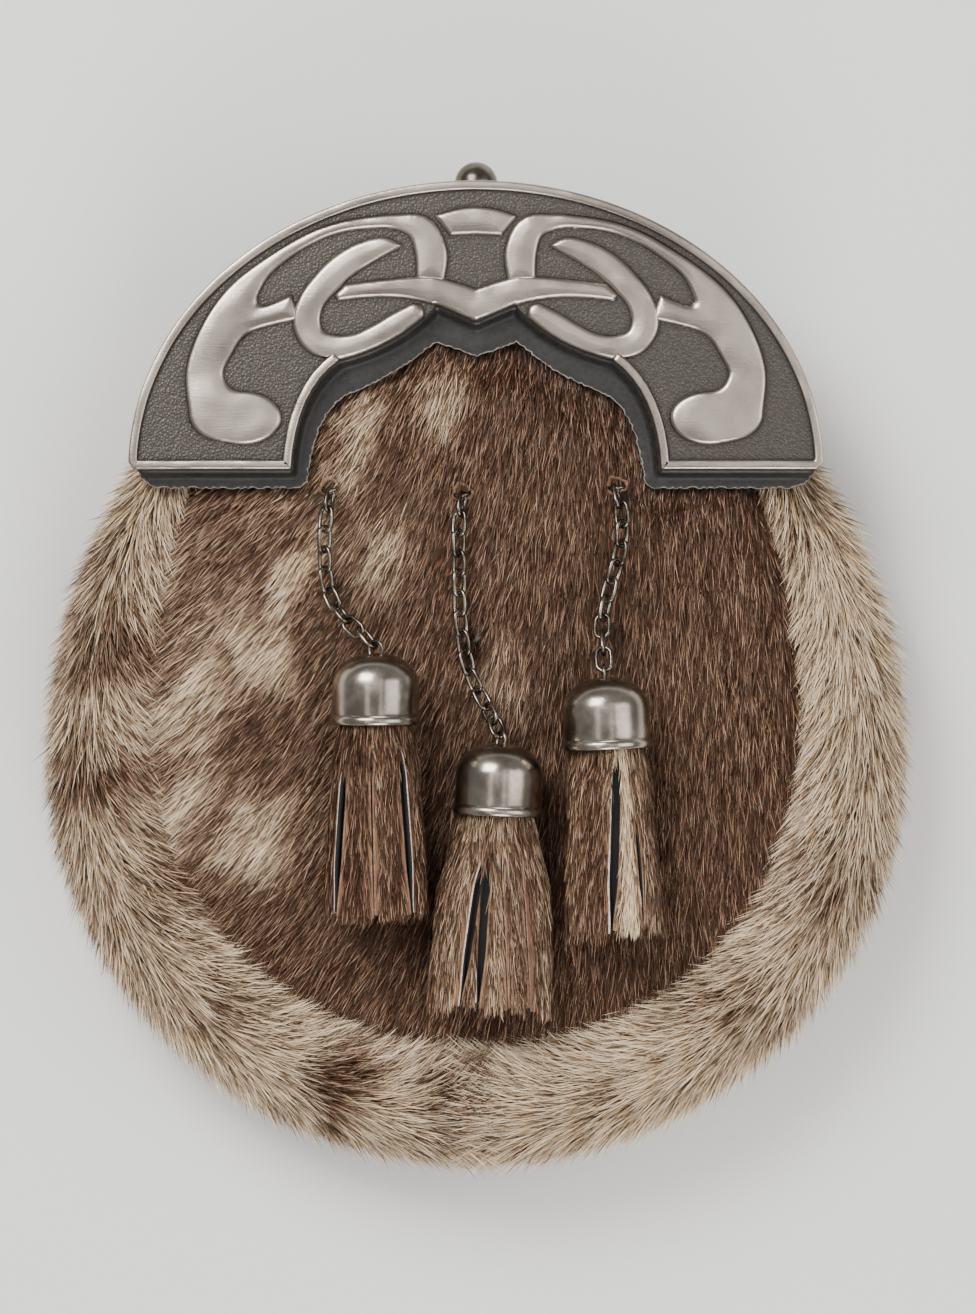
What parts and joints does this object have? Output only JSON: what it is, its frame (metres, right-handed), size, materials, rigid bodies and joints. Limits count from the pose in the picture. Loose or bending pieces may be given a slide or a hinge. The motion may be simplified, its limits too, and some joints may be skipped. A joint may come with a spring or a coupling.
{
  "type": "sporran pouch",
  "caption": "Round fur pouch with a half-moon relief cantle of cast metal, a black leather apron and back, belt loops, and chained hide tassels in bell caps.",
  "frame": {"origin": "centre of the box at its bottom, on the surface that the pouch lies on, back down", "axes": "+X to the right seen from the front, +Y towards the top of the cantle, +Z out of the front"},
  "size_m": [0.2046, 0.2398, 0.063],
  "materials": {
    "cantle_metal": "antiqued cast pewter: brushed raised bands on a dark pebbled field",
    "chain_metal": "dark polished antique pewter",
    "black_leather": "smooth black leather, matte with a soft shine",
    "panel_fur": "brown mottled seal hide, hair lying downwards",
    "gusset_fur": "cream and brown mottled seal hide, hair lying downwards",
    "tassel_fur": "brown seal hide rolled hair side out, with pale cut edges"
  },
  "bodies": {
    "root": {"anchor_left": "chain_metal", "anchor_middle": "chain_metal", "anchor_right": "chain_metal", "apron": "black_leather", "back_panel": "black_leather", "belt_loop_left": "black_leather", "belt_loop_right": "black_leather", "cantle": "cantle_metal", "cap_left": "chain_metal", "cap_middle": "chain_metal", "cap_right": "chain_metal", "chain_left_01": "chain_metal", "chain_left_02": "chain_metal", "chain_left_03": "chain_metal", "chain_left_04": "chain_metal", "chain_left_05": "chain_metal", "chain_left_06": "chain_metal", "chain_left_07": "chain_metal", "chain_left_08": "chain_metal", "chain_left_09": "chain_metal", "chain_left_10": "chain_metal", "chain_left_11": "chain_metal", "chain_middle_01": "chain_metal", "chain_middle_02": "chain_metal", "chain_middle_03": "chain_metal", "chain_middle_04": "chain_metal", "chain_middle_05": "chain_metal", "chain_middle_06": "chain_metal", "chain_middle_07": "chain_metal", "chain_middle_08": "chain_metal", "chain_middle_09": "chain_metal", "chain_middle_10": "chain_metal", "chain_middle_11": "chain_metal", "chain_middle_12": "chain_metal", "chain_middle_13": "chain_metal", "chain_middle_14": "chain_metal", "chain_middle_15": "chain_metal", "chain_right_01": "chain_metal", "chain_right_02": "chain_metal", "chain_right_03": "chain_metal", "chain_right_04": "chain_metal", "chain_right_05": "chain_metal", "chain_right_06": "chain_metal", "chain_right_07": "chain_metal", "chain_right_08": "chain_metal", "chain_right_09": "chain_metal", "chain_right_10": "chain_metal", "chain_right_11": "chain_metal", "chain_right_12": "chain_metal", "closing_tab": "black_leather", "front_panel": "panel_fur", "gusset_left": "gusset_fur", "gusset_right": "gusset_fur", "knob": "chain_metal", "tassel_left": "tassel_fur", "tassel_middle": "tassel_fur", "tassel_right": "tassel_fur"}
  },
  "joints": []
}
